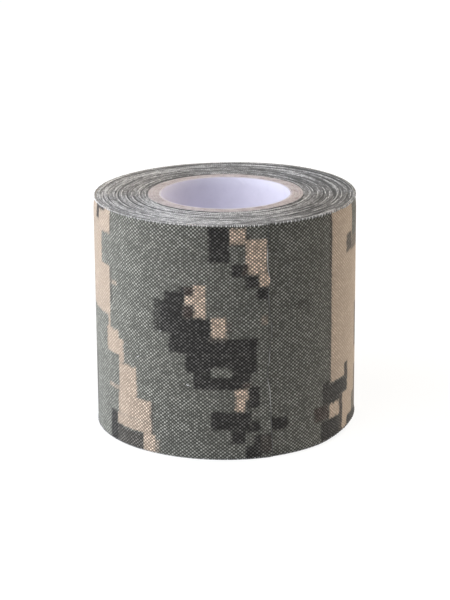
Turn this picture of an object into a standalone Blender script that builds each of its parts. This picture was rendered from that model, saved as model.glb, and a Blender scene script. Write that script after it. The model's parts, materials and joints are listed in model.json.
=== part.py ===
"""Roll of printed cloth tape on a spiral-wound paper core. Metres, +Z up.

The roll stands on one end with its axis on +Z, and the origin is the centre of that end.
The core is a white liner inside four kraft plies. Each ply is one strip of paper wound at an angle,
so that its edges meet in a slanted butt seam, and the seams are spread round the tube. The tape is
one strip of cloth. Its first turn lies on the core, and each later turn lies on the one below and
climbs over the step that the strip's start makes. Its last stretch is divided into short lengths,
each hinged on the one before it, so that the free end peels off the roll.
"""

import math

import bmesh
import bpy
from mathutils import Vector

# Tape: a 50 mm cloth tape, wound to a 56 mm roll
TAPE_WIDTH = 0.0500
TAPE_THICKNESS = 0.00030
TURNS = 35.5

# Core: a paper tube with a 27.4 mm bore, as wide as the tape
BORE_RADIUS = 0.01370
LINER_THICKNESS = 0.00036
KRAFT_THICKNESS = 0.000585
KRAFT_PLIES = 4
PLY_STRIP_WIDTH = 0.060
BUTT_GAP = 0.0003
LINER_SEAM_COLUMN = -6.5
SEAM_SPREAD = 14

# Glue or air between one layer of paper or cloth and the next
LAYER_GAP = 0.00002

# Free end: it points anticlockwise seen from above, and lies right of the front, which faces -Y
FREE_END_ANGLE = math.radians(-71.3)
FREE_LENGTHS = 6
LENGTH_GAP = 0.0001

# Every layer bends on the same rays from the axis, so that the layers nest without touching
FACETS = 36

FACET_ANGLE = 2 * math.pi / FACETS
CORE_RADIUS = BORE_RADIUS + LINER_THICKNESS + KRAFT_PLIES * (LAYER_GAP + KRAFT_THICKNESS)
WINDING_PITCH = TAPE_THICKNESS + LAYER_GAP
SHARP_ANGLE = math.radians(30)


def clear_scene():
    for obj in list(bpy.data.objects):
        bpy.data.objects.remove(obj, do_unlink=True)


def plain_material(name, colour, roughness):
    material = bpy.data.materials.new(name)
    material.use_nodes = True
    shader = material.node_tree.nodes["Principled BSDF"]
    shader.inputs["Base Color"].default_value = (*colour, 1.0)
    shader.inputs["Roughness"].default_value = roughness
    shader.inputs["Metallic"].default_value = 0.0
    return material


def on_facets(column, radius):
    """The point at this radius in plan. Columns count rays from the free end, and between two rays
    the point lies on the straight facet that joins them."""
    ray = math.floor(column)
    ends = []
    for number in (ray, ray + 1):
        angle = FREE_END_ANGLE + number * FACET_ANGLE
        ends.append(Vector((radius * math.cos(angle), radius * math.sin(angle), 0.0)))
    return ends[0].lerp(ends[1], column - ray)


def tape_radius(column):
    """Radius of the tape's inner face. Each turn keeps its radius as far as its last facet, where the
    tape climbs by one pitch over the step of the strip's start."""
    turns = TURNS + column / FACETS
    whole = math.floor(turns)
    climb = max(0.0, (turns - whole - 1) * FACETS + 1)
    return CORE_RADIUS + LAYER_GAP + WINDING_PITCH * (whole + climb)


def add_object(name, bm, material, origin=None, parent=None):
    """An object from this mesh, which is in the roll's frame. The origin is where it is hinged."""
    origin = origin or Vector((0.0, 0.0, 0.0))
    bmesh.ops.recalc_face_normals(bm, faces=bm.faces)
    bmesh.ops.translate(bm, verts=bm.verts, vec=-origin)
    mesh = bpy.data.meshes.new(name)
    bm.to_mesh(mesh)
    bm.free()
    mesh.shade_smooth()
    mesh.set_sharp_from_angle(angle=SHARP_ANGLE)
    mesh.materials.append(material)
    obj = bpy.data.objects.new(name, mesh)
    bpy.context.scene.collection.objects.link(obj)
    obj.location = origin
    if parent:
        obj.parent = parent
        obj.location = origin - parent.matrix_world.translation
    bpy.context.view_layer.update()
    return obj


def paper_ply(name, inner_radius, thickness, seam_column, material):
    """One ply of the tube. Flat, the strip between the tube's two ends is a parallelogram. Rolled up,
    its slanted sides meet in the seam."""
    column_width = 2 * inner_radius * math.sin(FACET_ANGLE / 2)
    slant = math.acos(PLY_STRIP_WIDTH / (FACETS * column_width))
    lean = TAPE_WIDTH * math.tan(slant) / column_width
    around = FACETS - BUTT_GAP / math.cos(slant) / column_width
    corners = (
        (seam_column, 0.0),
        (seam_column + around, 0.0),
        (seam_column + around + lean, TAPE_WIDTH),
        (seam_column + lean, TAPE_WIDTH),
    )
    bm = bmesh.new()
    bm.faces.new([bm.verts.new((column, 0.0, height)) for column, height in corners])
    for ray in range(math.ceil(seam_column), math.ceil(corners[2][0])):
        sheet = bm.verts[:] + bm.edges[:] + bm.faces[:]
        bmesh.ops.bisect_plane(bm, geom=sheet, plane_co=(ray, 0, 0), plane_no=(1, 0, 0))
    outside = bmesh.ops.extrude_face_region(bm, geom=bm.faces[:], use_keep_orig=True)["geom"]
    for vert in outside:
        if isinstance(vert, bmesh.types.BMVert):
            vert.co.y = thickness
    for vert in bm.verts:
        column, depth, height = vert.co
        vert.co = on_facets(column, inner_radius + depth) + Vector((0.0, 0.0, height))
    return add_object(name, bm, material)


def tape_length(name, columns, material, origin=None, parent=None):
    """A stretch of the tape: its plan, one quad to a facet, drawn up to the tape's width."""
    bm = bmesh.new()
    across = []
    for column in columns:
        inner = tape_radius(column)
        radii = (inner, inner + TAPE_THICKNESS)
        across.append([bm.verts.new(on_facets(column, radius)) for radius in radii])
    for start, end in zip(across, across[1:]):
        bm.faces.new((start[0], start[1], end[1], end[0]))
    top = bmesh.ops.extrude_face_region(bm, geom=bm.faces[:], use_keep_orig=True)["geom"]
    raised = [vert for vert in top if isinstance(vert, bmesh.types.BMVert)]
    bmesh.ops.translate(bm, verts=raised, vec=(0.0, 0.0, TAPE_WIDTH))
    return add_object(name, bm, material, origin, parent)


def core(white_paper, kraft_board):
    """The liner and the kraft plies, from the bore outwards, each seam spread well away from the last."""
    paper_ply("core_liner", BORE_RADIUS, LINER_THICKNESS, LINER_SEAM_COLUMN, white_paper)
    inner_radius = BORE_RADIUS + LINER_THICKNESS + LAYER_GAP
    for number in range(1, KRAFT_PLIES + 1):
        seam_column = LINER_SEAM_COLUMN + number * SEAM_SPREAD
        paper_ply(f"core_ply_{number}", inner_radius, KRAFT_THICKNESS, seam_column, kraft_board)
        inner_radius += KRAFT_THICKNESS + LAYER_GAP


def tape(cloth):
    """The wound strip, and the lengths of its free end. Each hinge line is on the outer face, where a
    length meets the one before it, so that the two part on the inner face as the end peels."""
    peel_start = -FREE_LENGTHS
    start = -round(TURNS * FACETS)
    before = tape_length("tape_windings", range(start, peel_start + 1), cloth)
    for number in range(1, FREE_LENGTHS + 1):
        column = peel_start + number - 1
        hinge = on_facets(column, tape_radius(column) + TAPE_THICKNESS)
        gap = LENGTH_GAP / (tape_radius(column) * FACET_ANGLE)
        span = (column + gap, column + 1)
        before = tape_length(f"free_end_{number}", span, cloth, hinge, before)


def main():
    clear_scene()
    core(
        plain_material("white_paper", (0.72, 0.70, 0.78), 0.7),
        plain_material("kraft_board", (0.47, 0.40, 0.36), 0.85),
    )
    tape(plain_material("printed_cloth", (0.14, 0.15, 0.13), 0.9))


main()
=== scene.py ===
# %% [markdown]
# # A roll of printed cloth tape
# The object is a roll of camouflage cloth tape that stands on one end. A paper tube, made of a white
# liner and four kraft plies, carries one long strip of woven cotton, and the last 29 mm of the strip
# peels off the roll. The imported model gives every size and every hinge. Its layers are faceted, so this
# lesson adds what the eye sees: round layers, woven thread, print, frayed edges and paper.

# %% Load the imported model
import json
import math
import bpy
import numpy as np
from mathutils import Matrix, Vector


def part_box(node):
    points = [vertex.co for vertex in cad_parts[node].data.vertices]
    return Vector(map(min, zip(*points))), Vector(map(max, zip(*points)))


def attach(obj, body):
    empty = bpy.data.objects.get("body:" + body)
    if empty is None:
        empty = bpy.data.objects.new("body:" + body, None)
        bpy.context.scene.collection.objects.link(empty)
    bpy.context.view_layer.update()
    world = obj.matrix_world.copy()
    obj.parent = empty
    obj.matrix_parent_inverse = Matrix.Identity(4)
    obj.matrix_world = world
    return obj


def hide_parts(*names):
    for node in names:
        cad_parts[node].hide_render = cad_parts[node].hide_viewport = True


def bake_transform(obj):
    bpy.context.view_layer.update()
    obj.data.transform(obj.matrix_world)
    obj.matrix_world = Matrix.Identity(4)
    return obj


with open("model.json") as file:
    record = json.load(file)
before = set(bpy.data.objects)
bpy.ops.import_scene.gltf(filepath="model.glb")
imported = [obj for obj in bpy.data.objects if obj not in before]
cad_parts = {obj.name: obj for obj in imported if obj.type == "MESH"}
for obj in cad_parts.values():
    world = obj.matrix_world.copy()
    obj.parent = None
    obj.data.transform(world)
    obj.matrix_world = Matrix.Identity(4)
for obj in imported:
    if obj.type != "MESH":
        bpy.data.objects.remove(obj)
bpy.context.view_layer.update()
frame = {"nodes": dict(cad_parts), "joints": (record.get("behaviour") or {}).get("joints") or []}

# %% [markdown]
# ## Sizes
# Nothing is measured twice. The hinges of the free end lie on the outside of the roll, one facet apart,
# so their places give the outer radius, the facet's angle and the angle at which the strip ends. The
# corners of each paper ply lie on two circles, which gives the tube.

# %% Read the sizes from the model
MILLIMETRE = 0.001


def ring_radii(node):
    """Inner and outer radius of a faceted ring. Each wall has its corners on or inside a circle round
    the axis, so the radius of a wall is the furthest that its corners reach."""
    vertices = frame["nodes"][node].data.vertices
    places = np.empty(3 * len(vertices), np.float32)
    vertices.foreach_get("co", places)
    radius = np.hypot(places[0::3], places[1::3])
    inner_wall = radius < (radius.min() + radius.max()) / 2
    return float(radius[inner_wall].max()), float(radius.max())


hinges = np.array([joint["pos_m"] for joint in frame["joints"]])
hinge_angles = np.unwrap(np.arctan2(hinges[:, 1], hinges[:, 0]))
OUTER_RADIUS = float(np.hypot(hinges[0, 0], hinges[0, 1]))
LENGTH_ANGLE = float(np.diff(hinge_angles).mean())
FREE_END_ANGLE = float(hinge_angles[-1] + LENGTH_ANGLE)
CORE_RADIUS = ring_radii("core_ply_4")[1]
ROLL_HEIGHT = float(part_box("tape_windings")[1].z)
FRONT_ANGLE = -math.pi / 2
print("outer radius", OUTER_RADIUS, "core radius", CORE_RADIUS, "height", ROLL_HEIGHT)
print("free end at", math.degrees(FREE_END_ANGLE), "degrees, lengths of", math.degrees(LENGTH_ANGLE))

# %% [markdown]
# ## Camera
# A product picture is taken with a long lens from a little above. The roll's rims are ellipses in the
# picture, and their widths and heights give the camera's height and distance. The picture is 450 by 600,
# so the lens is set for a sensor whose 36 mm side is the tall one. The camera is turned by half a degree.

# %% Set up the camera
CAMERA_ELEVATION = math.radians(16.97)
CAMERA_DISTANCE = 0.4638
CAMERA_AIM = Vector((-0.00025, 0.0, 0.02601))
CAMERA_LENS = 129.36
CAMERA_ROLL = math.radians(-0.375)

camera_data = bpy.data.cameras.new("photo_camera")
camera_data.lens = CAMERA_LENS
camera_data.sensor_width = 36
camera = bpy.data.objects.new("photo_camera", camera_data)
bpy.context.scene.collection.objects.link(camera)
towards_camera = Vector((0.0, -math.cos(CAMERA_ELEVATION), math.sin(CAMERA_ELEVATION)))
camera_turn = towards_camera.to_track_quat("Z", "Y").to_matrix().to_4x4()
camera_place = Matrix.Translation(CAMERA_AIM + CAMERA_DISTANCE * towards_camera)
camera.matrix_world = camera_place @ camera_turn @ Matrix.Rotation(CAMERA_ROLL, 4, "Z")
bpy.context.scene.camera = camera
print("camera at", list(camera.matrix_world.translation))

# %% [markdown]
# ## Node helpers
# Materials are trees of small nodes. Two helpers keep each tree short to write: one adds a node and fills
# or links its sockets, the other adds a sum or a product.


# %% Helpers for node trees
def add_node(tree, kind, inputs=None, **settings):
    """A node of this kind. An input that is a socket is linked, and any other value is set."""
    made = tree.nodes.new(kind)
    for name, value in settings.items():
        setattr(made, name, value)
    for name, value in (inputs or {}).items():
        if isinstance(value, bpy.types.NodeSocket):
            tree.links.new(value, made.inputs[name])
        else:
            made.inputs[name].default_value = value
    return made


def calculate(tree, operation, *values, clamp=False):
    """The result of one arithmetic step on one, two or three values."""
    made = add_node(tree, "ShaderNodeMath", dict(enumerate(values)), operation=operation)
    made.use_clamp = clamp
    return made.outputs[0]


def ramp(tree, value, low, high, start=0.0, end=1.0):
    """The value carried from the range low to high on to the range start to end, eased at both ends."""
    inputs = {"Value": value, 1: low, 2: high, 3: start, 4: end}
    made = add_node(tree, "ShaderNodeMapRange", inputs, interpolation_type="SMOOTHSTEP")
    return made.outputs["Result"]


def blend_colours(tree, factor, first, second, mode="MIX"):
    """The first colour where the factor is 0 and the second where it is 1."""
    made = add_node(tree, "ShaderNodeMix", data_type="RGBA", blend_type=mode)
    for socket, value in zip((made.inputs[0], made.inputs[6], made.inputs[7]), (factor, first, second)):
        if isinstance(value, bpy.types.NodeSocket):
            tree.links.new(value, socket)
        elif socket.type == "RGBA":
            socket.default_value = (*value, 1.0)
        else:
            socket.default_value = value
    return made.outputs[2]


def new_material(name):
    """An empty material with its output node."""
    material = bpy.data.materials.new(name)
    material.use_nodes = True
    material.node_tree.nodes.clear()
    return material, material.node_tree


def finish_material(tree, shader_socket):
    """The shader goes to the surface."""
    output = tree.nodes.new("ShaderNodeOutputMaterial")
    tree.links.new(shader_socket, output.inputs["Surface"])


print("node helpers ready")

# %% [markdown]
# ## Light and floor
# The roll stands on plain white between two soft lamps on the left, one low and one high, and a weaker one
# behind it on the right. The camera sees the floor and the sky as white, but what they throw on the roll is
# only a plain level of light, and near the roll the floor also glows for the rays that light the roll: a
# painted bounce light that fades out a little way off. That split is made with Light Path, so white comes
# from colour and not from stronger lamps. The floor keeps a faint shadow.

# %% Light the stage
WHITE = (1.0, 1.0, 1.0)
SKY_LEVEL = 0.01
FLOOR_ALBEDO = 0.90
FLOOR_SEEN_ALBEDO = 0.17
FLOOR_NEAR_GLOW = 0.87
FLOOR_FAR_GLOW = 0.97
FLOOR_PAINTED_BOUNCE = 0.47
FLOOR_NEAR = 0.06
FLOOR_FAR = 0.22


def seen_directly(tree):
    """1 on rays from the camera and on mirror and glass rays, 0 on the rays that light a surface."""
    path = add_node(tree, "ShaderNodeLightPath").outputs
    mirrored = calculate(tree, "MAXIMUM", path["Is Glossy Ray"], path["Is Transmission Ray"])
    return calculate(tree, "MAXIMUM", path["Is Camera Ray"], mirrored)


def add_lamp(name, azimuth, elevation, distance, size, level, colour):
    """A soft lamp that faces the roll. Azimuth runs from the front to the right, in degrees. The level is how
    bright a white card that faces the lamp would look, so the power is pi squared level distance squared."""
    data = bpy.data.lights.new(name, "AREA")
    data.shape = "RECTANGLE"
    data.size, data.size_y = size
    data.color = colour
    data.energy = math.pi**2 * level * distance**2
    turn_by, tilt = math.radians(azimuth), math.radians(elevation)
    towards = Vector((math.sin(turn_by) * math.cos(tilt), -math.cos(turn_by) * math.cos(tilt), math.sin(tilt)))
    lamp = bpy.data.objects.new(name, data)
    bpy.context.scene.collection.objects.link(lamp)
    turn = towards.to_track_quat("Z", "Y").to_matrix().to_4x4()
    lamp.matrix_world = Matrix.Translation(Vector((0.0, 0.0, 0.03)) + distance * towards) @ turn


world = bpy.data.worlds.new("white_studio")
bpy.context.scene.world = world
world.use_nodes = True
world.node_tree.nodes.clear()
sky = add_node(world.node_tree, "ShaderNodeBackground", {"Color": (*WHITE, 1.0), "Strength": SKY_LEVEL})
white = add_node(world.node_tree, "ShaderNodeBackground", {"Color": (*WHITE, 1.0), "Strength": 1.0})
sky_inputs = {0: seen_directly(world.node_tree), 1: sky.outputs[0], 2: white.outputs[0]}
sky_mix = add_node(world.node_tree, "ShaderNodeMixShader", sky_inputs)
sky_output = world.node_tree.nodes.new("ShaderNodeOutputWorld")
world.node_tree.links.new(sky_mix.outputs[0], sky_output.inputs["Surface"])

COOL_WHITE = (0.96, 1.0, 1.055)
WARM_WHITE = (1.10, 1.0, 0.84)
add_lamp("low_left", -85, 15, 0.30, (0.26, 0.26), 0.98, COOL_WHITE)
add_lamp("high_left", -45, 48, 0.35, (0.30, 0.30), 0.75, COOL_WHITE)
add_lamp("fill_right", 122, 45, 0.60, (0.40, 0.40), 0.87, WARM_WHITE)
bpy.context.scene.view_settings.view_transform = "Standard"

floor_finish, tree = new_material("white_floor")
plain = add_node(tree, "ShaderNodeBsdfDiffuse", {"Color": (FLOOR_ALBEDO,) * 3 + (1.0,)})
faint = add_node(tree, "ShaderNodeBsdfDiffuse", {"Color": (FLOOR_SEEN_ALBEDO,) * 3 + (1.0,)})
floor_place = add_node(tree, "ShaderNodeTexCoord").outputs["Object"]
from_roll = add_node(tree, "ShaderNodeVectorMath", {0: floor_place}, operation="LENGTH").outputs["Value"]
white_out = ramp(tree, from_roll, FLOOR_NEAR, FLOOR_FAR, FLOOR_NEAR_GLOW, FLOOR_FAR_GLOW)
# Painted bounce light: near the roll the floor glows for the rays that light it, and the glow fades out by
# FLOOR_FAR.
painted_bounce_level = ramp(tree, from_roll, FLOOR_NEAR, FLOOR_FAR, FLOOR_PAINTED_BOUNCE, 0.0)
painted_bounce = add_node(tree, "ShaderNodeEmission", {"Color": (*WHITE, 1.0), "Strength": painted_bounce_level})
lighting = add_node(tree, "ShaderNodeAddShader", {0: plain.outputs[0], 1: painted_bounce.outputs[0]})
glow = add_node(tree, "ShaderNodeEmission", {"Color": (*WHITE, 1.0), "Strength": white_out})
seen = add_node(tree, "ShaderNodeAddShader", {0: faint.outputs[0], 1: glow.outputs[0]})
floor_inputs = {0: seen_directly(tree), 1: lighting.outputs[0], 2: seen.outputs[0]}
finish_material(tree, add_node(tree, "ShaderNodeMixShader", floor_inputs).outputs[0])

FLOOR_HALF = 3.0
FLOOR_DROP = -0.00004
floor_corners = [(-1, -1), (1, -1), (1, 1), (-1, 1)]
floor_mesh = bpy.data.meshes.new("floor")
floor_places = [(FLOOR_HALF * x, FLOOR_HALF * y, FLOOR_DROP) for x, y in floor_corners]
floor_mesh.from_pydata(floor_places, [], [(0, 1, 2, 3)])
floor_mesh.materials.append(floor_finish)
floor = bpy.data.objects.new("floor", floor_mesh)
bpy.context.scene.collection.objects.link(floor)
print("stage ready: 3 lamps, sky level", SKY_LEVEL)

# %% [markdown]
# ## Surfaces from arrays
# Every layer of the roll is a closed section carried along a path, so one function makes the faces: rows of
# points that are closed loops, a quad between each pair of neighbours and a cap on each end. Points carry
# marks that the materials read later. A random wander, eased between knots, gives hand-made unevenness.


# %% Helpers for surfaces
def wander(place, spacing, seed):
    """Smooth random values from -1 to 1 along a line: a random knot every spacing, and between two knots
    a value eased from one to the other."""
    knots = np.random.default_rng(seed).uniform(-1.0, 1.0, 1009)
    at = np.asarray(place) / spacing
    before = np.floor(at).astype(int)
    share = at - before
    share = share * share * (3.0 - 2.0 * share)
    return knots[before % 1009] * (1.0 - share) + knots[(before + 1) % 1009] * share


def eased(share):
    """0 below 0, 1 above 1, and an S-shaped rise between: 3 x squared less 2 x cubed."""
    share = np.clip(share, 0.0, 1.0)
    return share * share * (3.0 - 2.0 * share)


def tube_part(points, **layers):
    """A part made of rows of closed loops: a quad between each pair of neighbours, a cap on the first and the
    last loop, and layers of values with one row to a point."""
    rows, around = points.shape[:2]
    row, k = np.meshgrid(np.arange(rows - 1), np.arange(around), indexing="ij")
    here = row * around + k
    beside = row * around + (k + 1) % around
    quads = np.stack([here, here + around, beside + around, beside], axis=-1).reshape(-1, 4)
    caps = [np.arange(around), np.arange(rows * around - 1, (rows - 1) * around - 1, -1)]
    part = {"points": points.reshape(-1, 3), "quads": quads, "caps": caps}
    part.update({name: values.reshape(rows * around, -1) for name, values in layers.items()})
    return part


def round_the_axis(radius, angle, height):
    """Points from their distance to the axis, their angle about it and their height."""
    return np.stack([radius * np.cos(angle), radius * np.sin(angle), height], axis=-1)


SHARP_ANGLE = math.radians(55)


def add_piece(name, material, *parts):
    """A mesh object from parts. Each part gives its points, quads and caps. A plan becomes the UV map, in
    metres along the strip and up it, and marks and inks become colour attributes."""
    firsts = np.cumsum([0] + [len(part["points"]) for part in parts])
    faces = np.concatenate([part["quads"] + first for part, first in zip(parts, firsts)]).tolist()
    for part, first in zip(parts, firsts):
        faces += [(cap + first).tolist() for cap in part["caps"]]
    mesh = bpy.data.meshes.new(name)
    mesh.from_pydata(np.concatenate([part["points"] for part in parts]), [], faces)
    for layer in sorted(set(parts[0]) - {"points", "quads", "caps"}):
        values = np.concatenate([part[layer] for part in parts]).astype(np.float32)
        if layer == "plan":
            corners = np.empty(len(mesh.loops), np.int32)
            mesh.loops.foreach_get("vertex_index", corners)
            mesh.uv_layers.new(name="plan").data.foreach_set("uv", values[corners].ravel())
        else:
            mesh.attributes.new(layer, "FLOAT_COLOR", "POINT").data.foreach_set("color", values.ravel())
    mesh.shade_smooth()
    mesh.set_sharp_from_angle(angle=SHARP_ANGLE)
    mesh.materials.append(material)
    obj = bpy.data.objects.new(name, mesh)
    bpy.context.scene.collection.objects.link(obj)
    triangles = sum(len(face) - 2 for face in faces)
    print(f"{name}: {len(mesh.vertices)} points, {triangles} triangles")
    return obj


# %% [markdown]
# ## Paper
# The core is a spiral-wound tube: strips of paper glued over each other at an angle. Each strip's two edges
# meet in a butt seam that runs round the tube like the stripe on a straw. Paper is fibre, so a shared node
# group makes short streaks and soft blotches on Object coordinates, and both papers use it with their own
# values. The kraft is seen only on its cut end, where the streaks follow the plies.


# %% Paper finishes
CUT_EDGE_DEEP = 0.30 * MILLIMETRE


def paper_fibre_group():
    """Fine streaks from noise that is stretched round the tube, and blotches from broad noise."""
    tree = bpy.data.node_groups.new("paper_fibre", "ShaderNodeTree")
    for name, low in (("Streak Scale", 900.0), ("Blotch Scale", 160.0)):
        socket = tree.interface.new_socket(name, in_out="INPUT", socket_type="NodeSocketFloat")
        socket.default_value = low
    for name in ("Streaks", "Blotches"):
        tree.interface.new_socket(name, in_out="OUTPUT", socket_type="NodeSocketFloat")
    given = tree.nodes.new("NodeGroupInput").outputs
    place = add_node(tree, "ShaderNodeTexCoord").outputs["Object"]
    streaks = {"Vector": place, "Scale": given["Streak Scale"], "Detail": 4.0, "Roughness": 0.65}
    blotches = {"Vector": place, "Scale": given["Blotch Scale"], "Detail": 2.0}
    result = tree.nodes.new("NodeGroupOutput")
    for name, inputs in (("Streaks", streaks), ("Blotches", blotches)):
        noise = add_node(tree, "ShaderNodeTexNoise", inputs).outputs["Fac"]
        tree.links.new(noise, result.inputs[name])
    return tree


def paper_finish(name, colours, edge_colours, roughness, streak_scale, blotch_scale, relief):
    """Paper: a colour and the shade that blotches and streaks give it, another pair on the cut edges at the
    tube's two ends, and fibres raised by the same streaks."""
    material, tree = new_material(name)
    fibre = add_node(tree, "ShaderNodeGroup", node_tree=paper_fibre)
    fibre.inputs["Streak Scale"].default_value = streak_scale
    fibre.inputs["Blotch Scale"].default_value = blotch_scale
    shade = calculate(tree, "MULTIPLY", fibre.outputs["Streaks"], fibre.outputs["Blotches"])
    place = add_node(tree, "ShaderNodeTexCoord").outputs["Object"]
    height = add_node(tree, "ShaderNodeSeparateXYZ", {"Vector": place}).outputs["Z"]
    from_middle = calculate(tree, "ABSOLUTE", calculate(tree, "SUBTRACT", height, ROLL_HEIGHT / 2))
    cut_edge = ramp(tree, from_middle, ROLL_HEIGHT / 2 - CUT_EDGE_DEEP, ROLL_HEIGHT / 2 - CUT_EDGE_DEEP / 2)
    light, dark = [blend_colours(tree, cut_edge, *pair) for pair in zip(colours, edge_colours)]
    tint = blend_colours(tree, ramp(tree, shade, 0.12, 0.34), dark, light)
    bump_inputs = {"Height": fibre.outputs["Streaks"], "Strength": 0.5, "Distance": relief}
    bump = add_node(tree, "ShaderNodeBump", bump_inputs)
    shader = {"Base Color": tint, "Roughness": roughness, "Normal": bump.outputs["Normal"]}
    shader["Specular IOR Level"] = 0.3
    finish_material(tree, add_node(tree, "ShaderNodeBsdfPrincipled", shader).outputs[0])
    return material


paper_fibre = paper_fibre_group()
LINER_WHITE = (0.745, 0.725, 0.84), (0.705, 0.685, 0.80)
KRAFT = (0.475, 0.425, 0.430), (0.325, 0.280, 0.280)
LINER_EDGE = (0.58, 0.54, 0.60), (0.46, 0.42, 0.45)
white_paper = paper_finish("white_paper", LINER_WHITE, LINER_EDGE, 0.62, 500, 70, 0.000006)
kraft_board = paper_finish("kraft_board", KRAFT, KRAFT, 0.90, 2400, 420, 0.00004)
print("paper finishes:", white_paper.name, kraft_board.name)

# %% [markdown]
# ## Core
# Flat, the strip between the tube's two ends is a parallelogram. Rolled up, a point that is a share u of
# the way round starts at the seam and leans with its height, so the grid's columns run along the seam. The
# plies stop a little short of the tape's edge, each by its own amount, as a saw leaves them.

# %% Wind the paper tube
PLY_STRIP_WIDTH = 60 * MILLIMETRE
FIRST_SEAM = FREE_END_ANGLE - 6.5 * LENGTH_ANGLE
SEAM_SPREAD = 14 * LENGTH_ANGLE
SEAM_OPENING = 0.004 * MILLIMETRE
PLY_NODES = ["core_liner", "core_ply_1", "core_ply_2", "core_ply_3", "core_ply_4"]
PLY_RECESS = [0.12, 0.05, 0.09, 0.06, 0.10]
PLY_EDGE_ROUND = [0.10, 0.10, 0.10, 0.10, 0.14]
PLY_AROUND = 144
PLY_ROWS = 26


def ply_section(inner, outer, top, bottom, edge_round):
    """The ply's upright section as a closed loop: up the outer wall, over a rounded edge, down the inner
    wall and under. Each edge is half an ellipse, edge_round high."""
    sweep = np.linspace(0.0, math.pi, 6)
    middle, half = (inner + outer) / 2, (outer - inner) / 2
    rows = np.linspace(bottom + edge_round, top - edge_round, PLY_ROWS)
    edge_radius = middle + half * np.cos(sweep[1:-1])
    edge_rise = edge_round * np.sin(sweep[1:-1])
    radius = np.concatenate([np.full(PLY_ROWS, outer), edge_radius,
                             np.full(PLY_ROWS, inner), edge_radius[::-1]])
    height = np.concatenate([rows, top - edge_round + edge_rise, rows[::-1], bottom + edge_round - edge_rise])
    return radius, height


def paper_ply(number):
    """One ply. Angle is seam angle plus u times the strip's round less the opening, plus height times the
    lean. The strip's width over the tube's girth is the cosine of the slant, and its tangent is the lean."""
    node = PLY_NODES[number]
    inner, outer = ring_radii(node)
    slant = math.acos(PLY_STRIP_WIDTH / (2 * math.pi * inner))
    lean = math.tan(slant) / inner
    opening = SEAM_OPENING / math.cos(slant) / inner
    recess = PLY_RECESS[number] * MILLIMETRE
    edge_round = PLY_EDGE_ROUND[number] * MILLIMETRE
    radius, height = ply_section(inner, outer, ROLL_HEIGHT - recess, recess, edge_round)
    u = np.linspace(0.0, 1.0, PLY_AROUND)[:, None]
    angle = FIRST_SEAM + number * SEAM_SPREAD + u * (2 * math.pi - opening) + height[None, :] * lean
    ragged = 0.05 * MILLIMETRE * wander(angle * inner, 2.5 * MILLIMETRE, 40 + number)
    near_edge = np.where(height > ROLL_HEIGHT / 2, -1.0, 1.0) * (number > 0)
    points = round_the_axis(radius + 0 * angle, angle, height + near_edge * np.abs(ragged))
    piece = add_piece(f"paper_{node}", kraft_board if number else white_paper, tube_part(points))
    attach(piece, "roll")
    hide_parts(node)


for number in range(len(PLY_NODES)):
    paper_ply(number)

# %% [markdown]
# ## Print
# The cloth is dyed a grey green and printed with blocks in tan, a near-black grey and umber, the usual pixel
# camouflage. Each block is a rectangle on the unrolled strip, and a later block covers an earlier one.
# The blocks are listed in millimetres: from the front to the right, and up from the foot. The
# strip is one turn further back right of the free end, and the back has blocks of the same kind.

# %% Lay out the print
PRINT_EDGE = 0.20 * MILLIMETRE
PRINT_RAGGED = 0.16 * MILLIMETRE
PAINTS = {"tan": (0, 1.0), "dark": (1, 1.0), "umber": (2, 1.0), "soft umber": (2, 0.5),
          "faint umber": (2, 0.25), "worn dark": (1, 0.8), "soft dark": (1, 0.5), "faint dark": (1, 0.3),
          "worn umber": (2, 0.75), "soft tan": (0, 0.6), "faint tan": (0, 0.4), "ground": (None, 1.0)}

LEFT_BLOCKS = [
    ("tan", -48.0, -28.8, 44.8, 51.0), ("tan", -48.0, -33.0, 37.9, 44.8),
    ("tan", -48.0, -29.2, 27.2, 37.9), ("soft tan", -29.2, -26.4, 34.3, 35.3),
    ("tan", -30.2, -29.4, 24.7, 27.2), ("tan", -30.7, -26.0, 19.4, 24.6),
    ("tan", -26.0, -24.4, 17.9, 23.0), ("tan", -26.0, -20.5, 11.0, 17.8),
    ("soft tan", -30.2, -26.0, 11.6, 12.5), ("tan", -26.4, -16.7, 6.5, 11.1),
    ("tan", -27.1, -16.5, 4.0, 6.5), ("tan", -18.8, -15.7, -1.0, 4.0),
    ("faint tan", -15.8, -14.6, -1.0, 3.0), ("dark", -29.5, -27.1, 4.0, 6.6),
    ("dark", -29.7, -25.0, -1.0, 4.1), ("dark", -25.0, -18.8, -1.0, 3.7),
    ("soft umber", -26.8, -18.9, -1.0, 3.4),
    ("soft umber", -28.8, -28.2, 45.0, 49.0), ("soft umber", -29.0, -28.3, 30.0, 38.0),
    ("soft umber", -16.7, -16.0, 4.0, 11.0), ("umber", -36.4, -34.6, 46.8, 50.3),
    ("umber", -36.2, -31.5, 49.1, 50.3),
    ("dark", -48.0, -41.0, 8.0, 21.0), ("soft dark", -41.5, -38.6, 2.5, 16.0),
]
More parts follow.
